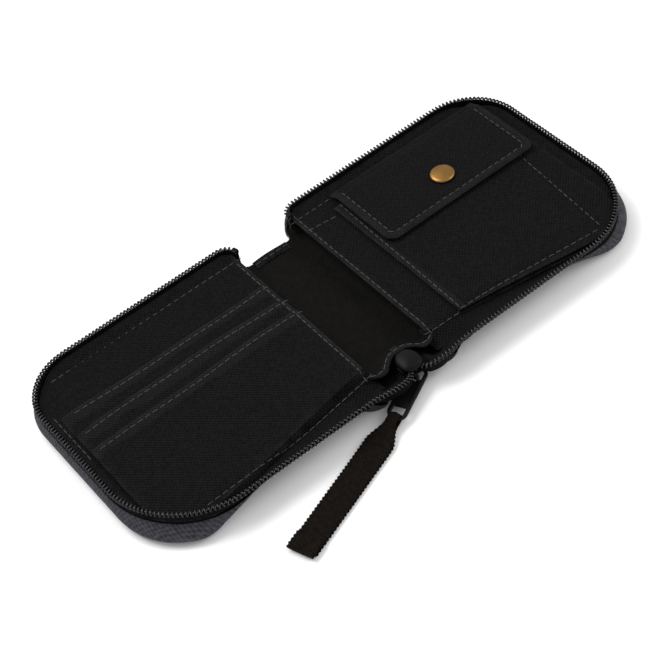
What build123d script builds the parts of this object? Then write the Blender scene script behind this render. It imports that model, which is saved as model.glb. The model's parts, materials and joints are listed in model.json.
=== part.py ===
from build123d import *
import os

# A zip-around bifold wallet that lies open, with its inside facing up. All sizes are in millimetres.
# +X runs along the opened length, +Y along the spine, +Z up. The origin is the centre of the
# spine's underside. The coin leaf is on +X and the card leaf on -X. The slider is at the -Y end.
# Leaf pieces are drawn at +X, as u = distance outwards from the crease and v = Y.

# Overall sizes
LEAF_LENGTH = 94.0        # from the crease to the leaf's outer edge
LEAF_WIDTH = 96.0         # along the spine
SPINE_WIDTH = 20.0        # between the two creases
CREASE_HEIGHT = 1.2       # height of each fold axis above the underside
COIL_GAP = 0.3            # between the two coils when the wallet is shut
PART_GAP = 0.3            # between pieces on each side of a crease
NEAR_OUTER_CORNER = 30.0  # corner radius at a leaf's outer edge, on the slider's side
FAR_OUTER_CORNER = 22.0   # and on the other side
NEAR_SPINE_CORNER = 14.0  # corner radius beside the slider, where a leaf meets the spine
FAR_SPINE_CORNER = 7.0    # corner radius at the spine's other end

# Layers of a leaf, from the outside in
COVER_WALL = 0.9
COVER_HEIGHT = 6.5
COVER_EDGE_RADIUS = 2.0
COVER_INNER_RADIUS = 1.5
PADDING_THICKNESS = 1.35
BOARD_THICKNESS = 0.55
BOARD_INSET = 1.6         # the board stops this far inside the padding's edge
LINING_THICKNESS = 0.4
LAYER_GAP = 0.05
BILL_SPACE = 4.2          # free height under a leaf's inner panel
PANEL_THICKNESS = 0.5

# Zip
TAPE_INSET = 1.3
TAPE_THICKNESS = 0.6
TAPE_FOOT = 4.0           # height at which the tape's sewn foot starts
COIL_WIDTH = 1.6
COIL_HEIGHT = 1.5
STOP_LENGTH = 2.2
STOP_EXTRA = 0.2          # how far a stop stands proud of the coil on each side

# Card pockets
POCKET_THICKNESS = 0.4
POCKET_DEPTHS = [25.0, 34.5, 43.5]      # from the leaf's far edge to each pocket's open edge
POCKET_STEP = 0.5                       # each pocket starts this much nearer to the spine
POCKET_START = 3.4
POCKET_END_INSET = 6.0    # from the leaf's outer edge
PANEL_START = 1.5
NEAR_EDGE_INSET = 15.0    # from the leaf's near edge to the start of a panel's slanted edge
NEAR_EDGE_RUN = 60.0      # how far out the slant runs
NEAR_EDGE_DROP = 10.5     # how far the slant falls towards -Y over that run

# Coin pocket, flap and snap
COIN_START = 16.0
COIN_END_INSET = 6.5      # from the leaf's outer edge
COIN_FAR_INSET = 14.0     # from the leaf's far edge
COIN_FRONT_THICKNESS = 0.4
COIN_BAG_THICKNESS = 0.35
FLAP_START = 19.0
FLAP_END_INSET = 8.5      # from the leaf's outer edge
FLAP_HINGE_INSET = 10.0   # from the leaf's far edge
FLAP_DEPTH = 33.5
FLAP_CORNER = 4.0
FLAP_THICKNESS = 0.5
FLAP_LINING_THICKNESS = 0.3
SNAP_END_INSET = 41.5     # from the leaf's outer edge
SNAP_HINGE_INSET = 21.0   # from the flap's fold
SNAP_CAP_RADIUS = 4.5
SNAP_CAP_HEIGHT = 1.35
SNAP_DISC_RADIUS = 3.7
SNAP_DISC_HEIGHT = 0.35
SNAP_POST_RADIUS = 1.1
SNAP_HOLE_CLEARANCE = 0.15
STUD_RADIUS = 1.6
STUD_HEIGHT = 0.65
SOCKET_HEIGHT = 0.75
SOCKET_CLEARANCE = 0.25

# Slider, pull tab and webbing
SLIDER_LENGTH = 9.0
SLIDER_WIDTH = 8.0
SLIDER_REAR_GAP = 1.5     # from the spine's near end to the slider
SLIDER_UNDERSIDE = 5.5
PLATE_THICKNESS = 1.0
CHANNEL_HEIGHT = 2.0
FLANGE_WIDTH = 0.7
FLANGE_LIP = 0.65         # the tape passes between an upper and a lower lip
DIVIDER_WIDTH = 1.4
DIVIDER_LENGTH = 3.0
BAIL_WIRE = 1.2
BAIL_WINDOW = 2.6
BAIL_REAR_INSET = 1.2
BAIL_FRONT_INSET = 0.5
TAB_LENGTH = 22.0
TAB_WIDTH = 7.0
TAB_THICKNESS = 1.3
TAB_FRAME = 1.2           # metal left around each hole of the tab
TAB_LOOP_LENGTH = 5.0
TAB_SLOT_LENGTH = 4.0
TAB_SLOT_CORNER = 0.4
TAB_HEADING = 206.0       # direction in which the pull lies, in degrees about +Z
TAB_DROP = 4.5            # slope of the tab down to the table, in degrees
STRAP_HEADING = 200.0
STRAP_WIDTH = 10.0
STRAP_NECK = 4.0          # width where the webbing is gathered through the tab
STRAP_LENGTH = 56.0
STRAP_LAYER = 0.8
STRAP_CLEARANCE = 0.4
CHAIN_END_WIDTH = 2.4
CHAIN_END_LENGTH = 1.6
BINDING_LENGTH = 4.0
BINDING_THICKNESS = 0.5

# Heights that follow from the sizes above
CLOSED_THICKNESS = SPINE_WIDTH + 2 * CREASE_HEIGHT
RIM_HEIGHT = (CLOSED_THICKNESS - COIL_GAP) / 2
COIL_FOOT = RIM_HEIGHT - COIL_HEIGHT
PADDING_FOOT = COVER_WALL + LAYER_GAP
BOARD_FOOT = PADDING_FOOT + PADDING_THICKNESS
LINING_FOOT = BOARD_FOOT + BOARD_THICKNESS + LAYER_GAP
LINING_TOP = LINING_FOOT + LINING_THICKNESS
PANEL_FOOT = LINING_TOP + BILL_SPACE
PANEL_TOP = PANEL_FOOT + PANEL_THICKNESS
CREASE_X = SPINE_WIDTH / 2
LINING_INSET = TAPE_INSET + TAPE_THICKNESS + 0.4
FAR_CURL_START = LEAF_WIDTH / 2 - FAR_SPINE_CORNER      # where the far corner's arc leaves the crease
SPINE_NEAR_END = NEAR_SPINE_CORNER - LEAF_WIDTH / 2
SPINE_FAR_END = FAR_CURL_START
SLIDER_REAR_Y = SPINE_NEAR_END - SLIDER_REAR_GAP
FAR_Y = LEAF_WIDTH / 2
OUTER_X = CREASE_X + LEAF_LENGTH
NEAR_EDGE_SPINE = NEAR_EDGE_INSET - FAR_Y
FLAP_HINGE_Y = FAR_Y - FLAP_HINGE_INSET
SNAP_X = OUTER_X - SNAP_END_INSET
SNAP_Y = FLAP_HINGE_Y - SNAP_HINGE_INSET

STEPS = "parts"
os.makedirs(STEPS, exist_ok=True)


def save(shape, name):
    export_step(shape, f"{STEPS}/{name}.step")


def box_between(low, high):
    """A box from its lowest corner to its highest corner."""
    size = [b - a for a, b in zip(low, high)]
    middle = [(a + b) / 2 for a, b in zip(low, high)]
    return Pos(*middle) * Box(*size)


def leaf_face(inset):
    """The leaf's rounded outline, moved inwards by inset, at +X."""
    start = CREASE_X + PART_GAP + inset
    end = OUTER_X - inset
    face = Pos((start + end) / 2, 0) * Rectangle(end - start, LEAF_WIDTH - 2 * inset)
    for corner_y, radius in ((0, NEAR_OUTER_CORNER), (-1, FAR_OUTER_CORNER)):
        outer_side = face.vertices().group_by(Axis.X)[-1]
        face = fillet(outer_side.sort_by(Axis.Y)[corner_y], radius - inset)
    for corner_y, radius in ((0, NEAR_SPINE_CORNER), (-1, FAR_SPINE_CORNER)):
        spine_side = face.vertices().group_by(Axis.X)[0]
        face = fillet(spine_side.sort_by(Axis.Y)[corner_y], radius - inset)
    return face


def leaf_plate(inset, foot, thickness, start):
    """A flat layer of the leaf whose straight spine side is at u = start."""
    plate = Pos(0, 0, foot) * extrude(leaf_face(inset), thickness)
    low = (0, -LEAF_WIDTH, foot - 1)
    high = (CREASE_X + start, LEAF_WIDTH, foot + thickness + 1)
    return plate - box_between(low, high)


def rim_strip(inset, width, foot, height):
    """A strip that follows the rim from the near side round to the far spine corner."""
    band = leaf_face(inset) - leaf_face(inset + width)
    strip = Pos(0, 0, foot) * extrude(band, height)
    low = (0, -LEAF_WIDTH, foot - 1)
    high = (CREASE_X + PART_GAP + NEAR_SPINE_CORNER, FAR_CURL_START, foot + height + 1)
    return strip - box_between(low, high)


def near_edge_waste(foot, height):
    """What the slanted near edge of a panel leaves out, beside the slider."""
    outer = CREASE_X + PANEL_START + NEAR_EDGE_RUN
    fall = NEAR_EDGE_SPINE - NEAR_EDGE_DROP
    points = [
        (0, -LEAF_WIDTH),
        (0, NEAR_EDGE_SPINE),
        (CREASE_X + PANEL_START, NEAR_EDGE_SPINE),
        (outer, fall),
        (outer, -LEAF_WIDTH),
    ]
    face = make_face(Polyline(*points, close=True))
    return Pos(0, 0, foot - 1) * extrude(face, height + 2)


# ---- pieces that both leaves have ----

def leaf_cover():
    outer = extrude(leaf_face(0), COVER_HEIGHT)
    outer = fillet(outer.edges().group_by(Axis.Z)[0], COVER_EDGE_RADIUS)
    inner = Pos(0, 0, COVER_WALL) * extrude(leaf_face(COVER_WALL), COVER_HEIGHT)
    inner = fillet(inner.edges().group_by(Axis.Z)[0], COVER_INNER_RADIUS)
    mouth_low = (0, -LEAF_WIDTH, COVER_WALL)
    mouth_high = (CREASE_X + COVER_HEIGHT, LEAF_WIDTH, COVER_HEIGHT + 1)
    return outer - inner - box_between(mouth_low, mouth_high)


def leaf_padding():
    inset = COVER_WALL + COVER_INNER_RADIUS
    return leaf_plate(inset, PADDING_FOOT, PADDING_THICKNESS, inset)


def leaf_board():
    inset = COVER_WALL + COVER_INNER_RADIUS + BOARD_INSET
    return leaf_plate(inset, BOARD_FOOT, BOARD_THICKNESS, inset)


def leaf_lining():
    floor = leaf_plate(LINING_INSET, LINING_FOOT, LINING_THICKNESS, PANEL_START)
    side = rim_strip(LINING_INSET, LINING_THICKNESS, LINING_TOP, BILL_SPACE)
    return floor + side


def zip_tape():
    return rim_strip(TAPE_INSET, TAPE_THICKNESS, TAPE_FOOT, COIL_FOOT - TAPE_FOOT)


def stop_cutter(clearance):
    low = (CREASE_X, FAR_CURL_START - 1, COIL_FOOT - 1)
    high = (CREASE_X + NEAR_SPINE_CORNER / 2, FAR_CURL_START + STOP_LENGTH + clearance, RIM_HEIGHT + 1)
    return box_between(low, high)


def zip_coil():
    inset = TAPE_INSET + (TAPE_THICKNESS - COIL_WIDTH) / 2
    coil = rim_strip(inset, COIL_WIDTH, COIL_FOOT, COIL_HEIGHT)
    return coil - stop_cutter(LAYER_GAP)


def zip_top_stop():
    width = COIL_WIDTH + 2 * STOP_EXTRA
    inset = TAPE_INSET + (TAPE_THICKNESS - width) / 2
    band = rim_strip(inset, width, COIL_FOOT, COIL_HEIGHT)
    return band & stop_cutter(0)


def leaf_panel():
    panel = leaf_plate(LINING_INSET, PANEL_FOOT, PANEL_THICKNESS, PANEL_START)
    return panel - near_edge_waste(PANEL_FOOT, PANEL_THICKNESS)


LEAF_PIECES = {
    "cover": leaf_cover,
    "padding": leaf_padding,
    "board": leaf_board,
    "lining": leaf_lining,
    "zip_tape": zip_tape,
    "zip_coil": zip_coil,
    "zip_top_stop": zip_top_stop,
}
for piece_name, make_piece in LEAF_PIECES.items():
    piece = make_piece()
    save(piece, f"coin_leaf_{piece_name}")
    save(mirror(piece, about=Plane.YZ), f"card_leaf_{piece_name}")


# ---- card leaf: base panel and stacked card pockets ----

def card_pocket(index):
    foot = PANEL_TOP + LAYER_GAP + index * (POCKET_THICKNESS + LAYER_GAP)
    start = CREASE_X + POCKET_START - index * POCKET_STEP
    low = (start, -LEAF_WIDTH / 2 + 2 * LINING_INSET, foot)
    high = (OUTER_X - POCKET_END_INSET, FAR_Y - POCKET_DEPTHS[index], foot + POCKET_THICKNESS)
    sheet = box_between(low, high) & (Pos(0, 0, foot) * extrude(leaf_face(LINING_INSET), POCKET_THICKNESS))
    return sheet - near_edge_waste(foot, POCKET_THICKNESS)


save(mirror(leaf_panel(), about=Plane.YZ), "card_panel")
for number in range(len(POCKET_DEPTHS)):
    save(mirror(card_pocket(number), about=Plane.YZ), f"card_pocket_{number + 1}")


# ---- coin leaf: slip panel, coin pocket, flap and snap ----

BAG_FOOT = PANEL_TOP + LAYER_GAP
POCKET_RIM = BAG_FOOT + COIN_BAG_THICKNESS + SNAP_DISC_HEIGHT + LAYER_GAP
FRONT_TOP = POCKET_RIM + COIN_FRONT_THICKNESS
STUD_TOP = FRONT_TOP + SNAP_DISC_HEIGHT + STUD_HEIGHT
SOCKET_FOOT = FRONT_TOP + SNAP_DISC_HEIGHT + 2 * LAYER_GAP
FLAP_FOOT = SOCKET_FOOT + SOCKET_HEIGHT
FLAP_OUTER_FOOT = FLAP_FOOT + FLAP_LINING_THICKNESS
FLAP_TOP = FLAP_OUTER_FOOT + FLAP_THICKNESS


def snap_disc(radius, foot, height):
    return Pos(SNAP_X, SNAP_Y, foot + height / 2) * Cylinder(radius, height)


def coin_pocket_outline(foot, height, inset=0.0):
    low = (CREASE_X + COIN_START + inset, -LEAF_WIDTH / 2 + 2 * LINING_INSET + inset, foot)
    high = (OUTER_X - COIN_END_INSET - inset, FAR_Y - COIN_FAR_INSET, foot + height)
    block = box_between(low, high) & (Pos(0, 0, foot) * extrude(leaf_face(LINING_INSET + inset), height))
    return block - near_edge_waste(foot, height)


def coin_bag():
    """Inner bag of the coin pocket: a back sheet with a low side wall, open at the far side."""
    height = POCKET_RIM - BAG_FOOT
    bag = coin_pocket_outline(BAG_FOOT, height)
    hollow_foot = BAG_FOOT + COIN_BAG_THICKNESS
    hollow = coin_pocket_outline(hollow_foot, height, COIN_BAG_THICKNESS * 2)
    wedge = Pos(0, COIN_BAG_THICKNESS * 2, 0) * near_edge_waste(hollow_foot, height)
    return bag - (hollow - wedge)


def coin_front():
    hole = snap_disc(SNAP_POST_RADIUS + SNAP_HOLE_CLEARANCE, POCKET_RIM - 1, COIN_FRONT_THICKNESS + 2)
    return coin_pocket_outline(POCKET_RIM, COIN_FRONT_THICKNESS) - hole


def snap_post():
    disc_foot = POCKET_RIM - SNAP_DISC_HEIGHT
    disc = snap_disc(SNAP_DISC_RADIUS, disc_foot, SNAP_DISC_HEIGHT)
    return disc + snap_disc(SNAP_POST_RADIUS, POCKET_RIM, COIN_FRONT_THICKNESS)


def snap_stud():
    disc = snap_disc(SNAP_DISC_RADIUS, FRONT_TOP, SNAP_DISC_HEIGHT)
    knob = snap_disc(STUD_RADIUS, FRONT_TOP + SNAP_DISC_HEIGHT, STUD_HEIGHT)
    return disc + knob


def snap_socket():
    ring = snap_disc(SNAP_DISC_RADIUS, SOCKET_FOOT, SOCKET_HEIGHT)
    return ring - snap_disc(STUD_RADIUS + SOCKET_CLEARANCE, SOCKET_FOOT - 1, SOCKET_HEIGHT + 2)


def snap_cap():
    cap = snap_disc(SNAP_CAP_RADIUS, FLAP_TOP, SNAP_CAP_HEIGHT)
    cap = fillet(cap.edges().group_by(Axis.Z)[-1], SNAP_CAP_HEIGHT * 0.7)
    return cap + snap_disc(SNAP_POST_RADIUS, FLAP_FOOT, FLAP_TOP - FLAP_FOOT)


def flap_sheet(foot, thickness):
    start = CREASE_X + FLAP_START
    end = OUTER_X - FLAP_END_INSET
    middle = FLAP_HINGE_Y - FLAP_DEPTH / 2
    face = Pos((start + end) / 2, middle) * Rectangle(end - start, FLAP_DEPTH)
    face = fillet(face.vertices().group_by(Axis.Y)[0], FLAP_CORNER)
    sheet = Pos(0, 0, foot) * extrude(face, thickness)
    return sheet - snap_disc(SNAP_POST_RADIUS + SNAP_HOLE_CLEARANCE, foot - 1, thickness + 2)


save(leaf_panel(), "slip_panel")
save(coin_bag(), "coin_pocket_bag")
save(coin_front(), "coin_pocket_front")
save(snap_post(), "snap_post")
save(snap_stud(), "snap_stud")
save(flap_sheet(FLAP_FOOT, FLAP_LINING_THICKNESS), "coin_flap_lining")
save(flap_sheet(FLAP_OUTER_FOOT, FLAP_THICKNESS), "coin_flap")
save(snap_socket(), "snap_socket")
save(snap_cap(), "snap_cap")


# ---- spine ----

SPINE_LAYER = (CREASE_HEIGHT - 2 * LAYER_GAP) / 2
SPINE_TOP = 2 * SPINE_LAYER + LAYER_GAP


def spine_sheet(foot):
    half = CREASE_X - PART_GAP
    return box_between((-half, SPINE_NEAR_END, foot), (half, SPINE_FAR_END, foot + SPINE_LAYER))


def spine_binding(start):
    """A strip sewn across one end of the spine lining."""
    half = CREASE_X - CREASE_HEIGHT - 2 * PART_GAP - COVER_WALL
    low = (-half, start, SPINE_TOP)
    return box_between(low, (half, start + BINDING_LENGTH, SPINE_TOP + BINDING_THICKNESS))


CHAIN_REAR = SLIDER_REAR_Y + PART_GAP
CHANNEL_FOOT = SLIDER_UNDERSIDE + PLATE_THICKNESS
CHAIN_END_FOOT = SPINE_TOP + BINDING_THICKNESS


def chain_end():
    """The last joined stretch of the chain, which rises from the spine to the slider's rear."""
    half = CHAIN_END_WIDTH / 2
    low = (-half, CHAIN_REAR, CHAIN_END_FOOT)
    return box_between(low, (half, CHAIN_REAR + CHAIN_END_LENGTH, CHANNEL_FOOT + CHANNEL_HEIGHT))


def chain_stop():
    """The bottom stop, clamped on the end of the chain."""
    half = CHAIN_END_WIDTH / 2 + STOP_EXTRA
    start = CHAIN_REAR + CHAIN_END_LENGTH
    low = (-half, start, CHANNEL_FOOT - STOP_EXTRA)
    return box_between(low, (half, start + STOP_LENGTH, CHANNEL_FOOT + CHANNEL_HEIGHT + STOP_EXTRA))


save(spine_sheet(0), "spine_cover")
save(spine_sheet(SPINE_LAYER + LAYER_GAP), "spine_lining")
save(spine_binding(SPINE_NEAR_END), "spine_binding_near")
save(spine_binding(SPINE_FAR_END - BINDING_LENGTH), "spine_binding_far")
save(chain_end(), "zip_chain_end")
save(chain_stop(), "zip_bottom_stop")


# ---- slider, pull tab and webbing pull ----

SLIDER_FRONT_Y = SLIDER_REAR_Y - SLIDER_LENGTH
UPPER_PLATE_FOOT = CHANNEL_FOOT + CHANNEL_HEIGHT
BAIL_FRONT_Y = SLIDER_FRONT_Y + BAIL_FRONT_INSET + BAIL_WIRE / 2
BAIL_REAR_Y = SLIDER_REAR_Y - BAIL_REAR_INSET - BAIL_WIRE / 2
BAIL_FOOT = SLIDER_UNDERSIDE - BAIL_WINDOW - BAIL_WIRE
TAB_HEIGHT = SLIDER_UNDERSIDE - BAIL_WINDOW / 2


def slider_plate(foot):
    """A plate with a straight mouth edge and a round rear, joined by the shoulders."""
    half = SLIDER_WIDTH / 2
    middle = (SLIDER_FRONT_Y + SLIDER_REAR_Y) / 2
    face = Pos(0, middle) * Rectangle(SLIDER_WIDTH, SLIDER_LENGTH)
    face = fillet(face.vertices().group_by(Axis.Y)[-1], half * 0.85)
    face = fillet(face.vertices().group_by(Axis.Y)[0], half * 0.3)
    return Pos(0, 0, foot) * extrude(face, PLATE_THICKNESS)


def slider_body():
    lower = slider_plate(SLIDER_UNDERSIDE)
    upper = slider_plate(UPPER_PLATE_FOOT)
    upper = fillet(upper.edges().group_by(Axis.Z)[-1], PLATE_THICKNESS * 0.6)
    low = (-DIVIDER_WIDTH / 2, SLIDER_FRONT_Y + BAIL_FRONT_INSET, CHANNEL_FOOT)
    high = (DIVIDER_WIDTH / 2, SLIDER_FRONT_Y + BAIL_FRONT_INSET + DIVIDER_LENGTH, UPPER_PLATE_FOOT)
    body = lower + upper + box_between(low, high)
    rear = SLIDER_REAR_Y - SLIDER_WIDTH / 2 * 0.85
    front = SLIDER_FRONT_Y + DIVIDER_LENGTH
    for side in (-1, 1):
        outer = side * SLIDER_WIDTH / 2
        inner = side * (SLIDER_WIDTH / 2 - FLANGE_WIDTH)
        left, right = sorted((outer, inner))
        for foot in (CHANNEL_FOOT, UPPER_PLATE_FOOT - FLANGE_LIP):
            body += box_between((left, front, foot), (right, rear, foot + FLANGE_LIP))
    return body


def slider_bail():
    half = BAIL_WIRE / 2
    outer = box_between(
        (-half, BAIL_FRONT_Y - half, BAIL_FOOT),
        (half, BAIL_REAR_Y + half, SLIDER_UNDERSIDE),
    )
    window = box_between(
        (-BAIL_WIRE, BAIL_FRONT_Y + half, BAIL_FOOT + BAIL_WIRE),
        (BAIL_WIRE, BAIL_REAR_Y - half, SLIDER_UNDERSIDE + 1),
    )
    return outer - window


def tab_place():
    """The tab's own frame: its +X runs along the tab, and its origin is at the bail's front post."""
    return Pos(0, BAIL_FRONT_Y, TAB_HEIGHT) * Rot(0, 0, TAB_HEADING) * Rot(0, TAB_DROP, 0)


def pull_tab():
    start = -TAB_LOOP_LENGTH / 2 - TAB_FRAME
    middle = start + TAB_LENGTH / 2
    face = Pos(middle, 0) * RectangleRounded(TAB_LENGTH, TAB_WIDTH, TAB_WIDTH * 0.45)
    hole_width = TAB_WIDTH - 2 * TAB_FRAME
    loop = RectangleRounded(TAB_LOOP_LENGTH, hole_width, hole_width * 0.4)
    slot_middle = start + TAB_LENGTH - TAB_FRAME - TAB_SLOT_LENGTH / 2
    slot = Pos(slot_middle, 0) * RectangleRounded(TAB_SLOT_LENGTH, hole_width, TAB_SLOT_CORNER)
    body = extrude(face - loop - slot, TAB_THICKNESS / 2, both=True)
    return tab_place() * body


def strap_anchor():
    """Centre of the tab's end bar, which the webbing goes round."""
    start = -TAB_LOOP_LENGTH / 2 - TAB_FRAME
    return tab_place() * Pos(start + TAB_LENGTH - TAB_FRAME / 2, 0, 0)


def pull_strap():
    """Webbing folded double round the end bar: two flat layers that taper to the neck."""
    anchor = strap_anchor().position
    clear = TAB_FRAME / 2 + STRAP_CLEARANCE
    taper = STRAP_WIDTH * 0.8
    neck = STRAP_NECK / 2
    half = STRAP_WIDTH / 2
    outline = [
        (clear, -neck),
        (clear + taper, -half),
        (STRAP_LENGTH, -half),
        (STRAP_LENGTH, half),
        (clear + taper, half),
        (clear, neck),
    ]
    face = make_face(Polyline(*outline, close=True))
    sheets = extrude(face, 2 * STRAP_LAYER)
    loop_depth = TAB_THICKNESS / 2 + STRAP_CLEARANCE
    band_height = 2 * (loop_depth + STRAP_LAYER)
    loop = Box(2 * (clear + STRAP_LAYER), STRAP_NECK, band_height)
    loop -= Box(2 * clear, STRAP_NECK + 1, 2 * loop_depth)
    place = Pos(anchor.X, anchor.Y, 0) * Rot(0, 0, STRAP_HEADING)
    lift = max(anchor.Z, band_height / 2)
    flat = place * sheets
    return flat + Pos(anchor.X, anchor.Y, lift) * Rot(0, 0, STRAP_HEADING) * loop


save(slider_body(), "slider_body")
save(slider_bail(), "slider_bail")
save(pull_tab(), "pull_tab")
save(pull_strap(), "pull_strap")

print("closed thickness", round(CLOSED_THICKNESS, 2), "rim height", round(RIM_HEIGHT, 2))
print("panel", round(PANEL_FOOT, 2), round(PANEL_TOP, 2), "lining top", round(LINING_TOP, 2))
print("flap foot", round(FLAP_FOOT, 2), "flap top", round(FLAP_TOP, 2))
print("snap cap top", round(FLAP_TOP + SNAP_CAP_HEIGHT, 2), "stud top", round(STUD_TOP, 2))
print("pull turn axis", 0, round(BAIL_FRONT_Y, 3), "tab height", round(TAB_HEIGHT, 3))
print("strap anchor", [round(value, 3) for value in strap_anchor().position])
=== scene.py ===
import json
import math

import bmesh
import bpy
from mathutils import Matrix, Vector, noise


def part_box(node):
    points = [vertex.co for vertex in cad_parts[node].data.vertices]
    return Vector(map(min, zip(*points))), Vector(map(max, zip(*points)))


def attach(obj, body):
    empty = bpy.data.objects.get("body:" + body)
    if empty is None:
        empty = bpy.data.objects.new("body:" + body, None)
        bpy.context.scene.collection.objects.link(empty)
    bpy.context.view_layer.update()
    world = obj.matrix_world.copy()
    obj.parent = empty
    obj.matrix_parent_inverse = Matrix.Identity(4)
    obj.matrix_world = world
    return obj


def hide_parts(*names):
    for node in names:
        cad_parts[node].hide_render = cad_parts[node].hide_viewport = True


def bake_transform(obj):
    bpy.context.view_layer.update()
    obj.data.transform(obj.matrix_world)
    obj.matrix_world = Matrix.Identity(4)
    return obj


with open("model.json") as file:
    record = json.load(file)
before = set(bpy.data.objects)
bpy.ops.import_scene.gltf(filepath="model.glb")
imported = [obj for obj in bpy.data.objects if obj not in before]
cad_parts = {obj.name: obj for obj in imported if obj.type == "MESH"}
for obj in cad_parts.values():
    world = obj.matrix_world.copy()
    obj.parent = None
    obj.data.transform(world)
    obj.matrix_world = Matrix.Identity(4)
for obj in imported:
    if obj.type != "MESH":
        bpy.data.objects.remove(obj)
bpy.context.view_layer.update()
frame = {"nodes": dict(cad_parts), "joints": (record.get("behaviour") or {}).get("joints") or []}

# Lengths are in millimetres until a mesh is made.
metre = 0.001


def nodeBox(node):
    low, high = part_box(node)
    return low / metre, high / metre


coverHigh = nodeBox("coin_leaf_cover")[1]
coilLow, coilHigh = nodeBox("coin_leaf_zip_coil")
tapeLow, tapeHigh = nodeBox("coin_leaf_zip_tape")
liningLow, liningHigh = nodeBox("coin_leaf_lining")
panelLow, panelHigh = nodeBox("slip_panel")
bagLow, bagHigh = nodeBox("coin_pocket_bag")
frontLow, frontHigh = nodeBox("coin_pocket_front")
flapLow, flapHigh = nodeBox("coin_flap")
flapLiningLow, flapLiningHigh = nodeBox("coin_flap_lining")
capLow, capHigh = nodeBox("snap_cap")
sliderLow, sliderHigh = nodeBox("slider_body")
spineLow, spineHigh = nodeBox("spine_lining")
joints = {j["name"]: j for j in frame["joints"]}
creaseX = joints["coin_leaf_fold"]["pos_m"][0] / metre
outerX = coverHigh.x
halfWidth = coverHigh.y
spineNear = spineLow.y
spineFar = spineHigh.y
# Each leaf's side, its body, and the start of its pieces' names.
leaves = ((-1, "card_leaf", "card"), (1, "coin_leaf", "coin"))


def smooth(t):
    t = min(max(t, 0.0), 1.0)
    return t * t * (3 - 2 * t)


def mix(a, b, t):
    return a + (b - a) * t


def hexColour(text):
    parts = [int(text[i:i + 2], 16) / 255 for i in (1, 3, 5)]
    linear = [c / 12.92 if c <= 0.04045 else ((c + 0.055) / 1.055) ** 2.4 for c in parts]
    return (*linear, 1.0)


def startMaterial(name):
    material = bpy.data.materials.new(name)
    material.use_nodes = True
    tree = material.node_tree
    return material, tree, tree.nodes["Principled BSDF"]


def setInputs(tree, node, inputs):
    # Each input is a plain value or the socket it is linked from.
    for key, value in inputs.items():
        if isinstance(value, bpy.types.NodeSocket):
            tree.links.new(value, node.inputs[key])
        else:
            node.inputs[key].default_value = value


def addNode(tree, kind, settings=None, inputs=None):
    node = tree.nodes.new(kind)
    for key, value in (settings or {}).items():
        setattr(node, key, value)
    setInputs(tree, node, inputs or {})
    return node


# The wave texture's own period at scale 1 is pi/10.
wavePeriod = math.pi / 10


def wovenMaterial(name, look):
    material, tree, shader = startMaterial(name)
    coords = addNode(tree, "ShaderNodeTexCoord").outputs["Object"]
    turned = addNode(tree, "ShaderNodeMapping", None,
                     {"Vector": coords, "Rotation": look.get("turn", (0, 0, 0))})
    threads = []
    for direction, pitch in (("X", look["warp"]), ("Y", look["weft"])):
        wave = addNode(tree, "ShaderNodeTexWave", {"bands_direction": direction},
                       {"Vector": turned.outputs["Vector"], "Scale": wavePeriod / (2 * pitch * metre),
                        "Distortion": look["waver"], "Detail": 1.0, "Detail Scale": 2.0})
        threads.append(addNode(tree, "ShaderNodeMath", {"operation": "SUBTRACT"},
                               {0: wave.outputs["Fac"], 1: 0.5}))
    crossing = addNode(tree, "ShaderNodeMath", {"operation": "MULTIPLY"},
                       {0: threads[0].outputs[0], 1: threads[1].outputs[0]})
    height = addNode(tree, "ShaderNodeMath", {"operation": "MULTIPLY_ADD"},
                     {0: crossing.outputs[0], 1: 2.0, 2: 0.5})
    slub = addNode(tree, "ShaderNodeTexNoise", None,
                   {"Vector": coords, "Scale": look["slub"], "Detail": 4.0, "Roughness": 0.65})
    shade = addNode(tree, "ShaderNodeMath", {"operation": "MULTIPLY_ADD"},
                    {0: slub.outputs["Fac"], 1: 1.9, 2: -0.85})
    # The mesh attribute read here lightens the cloth at its edges and hems: partly rubbed wear, partly a
    # painted highlight where light catches the raised edges and hem bands.
    edgeWearAndHighlight = addNode(tree, "ShaderNodeAttribute", {"attribute_name": "wear_and_highlight"})
    edges = addNode(tree, "ShaderNodeMath", {"operation": "MULTIPLY_ADD"},
                    {0: edgeWearAndHighlight.outputs["Fac"], 1: look.get("edgeWearAndHighlight", 0.0), 2: shade.outputs[0]})
    mixed = addNode(tree, "ShaderNodeMath", {"operation": "MULTIPLY_ADD"},
                    {0: height.outputs[0], 1: 0.8, 2: edges.outputs[0]})
    tone = addNode(tree, "ShaderNodeMath", {"operation": "MAXIMUM"}, {0: mixed.outputs[0], 1: 0.0})
    ramp = addNode(tree, "ShaderNodeMix", {"data_type": "RGBA", "clamp_factor": False},
                   {"Factor": tone.outputs[0], "A": hexColour(look["dark"]), "B": hexColour(look["light"])})
    bump = addNode(tree, "ShaderNodeBump", None,
                   {"Strength": look["relief"], "Distance": look["depth"] * metre,
                    "Height": height.outputs[0]})
    setInputs(tree, shader, {"Base Color": ramp.outputs["Result"], "Normal": bump.outputs["Normal"],
                             "Roughness": look["roughness"], "Specular IOR Level": look["specular"]})
    return material


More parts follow.
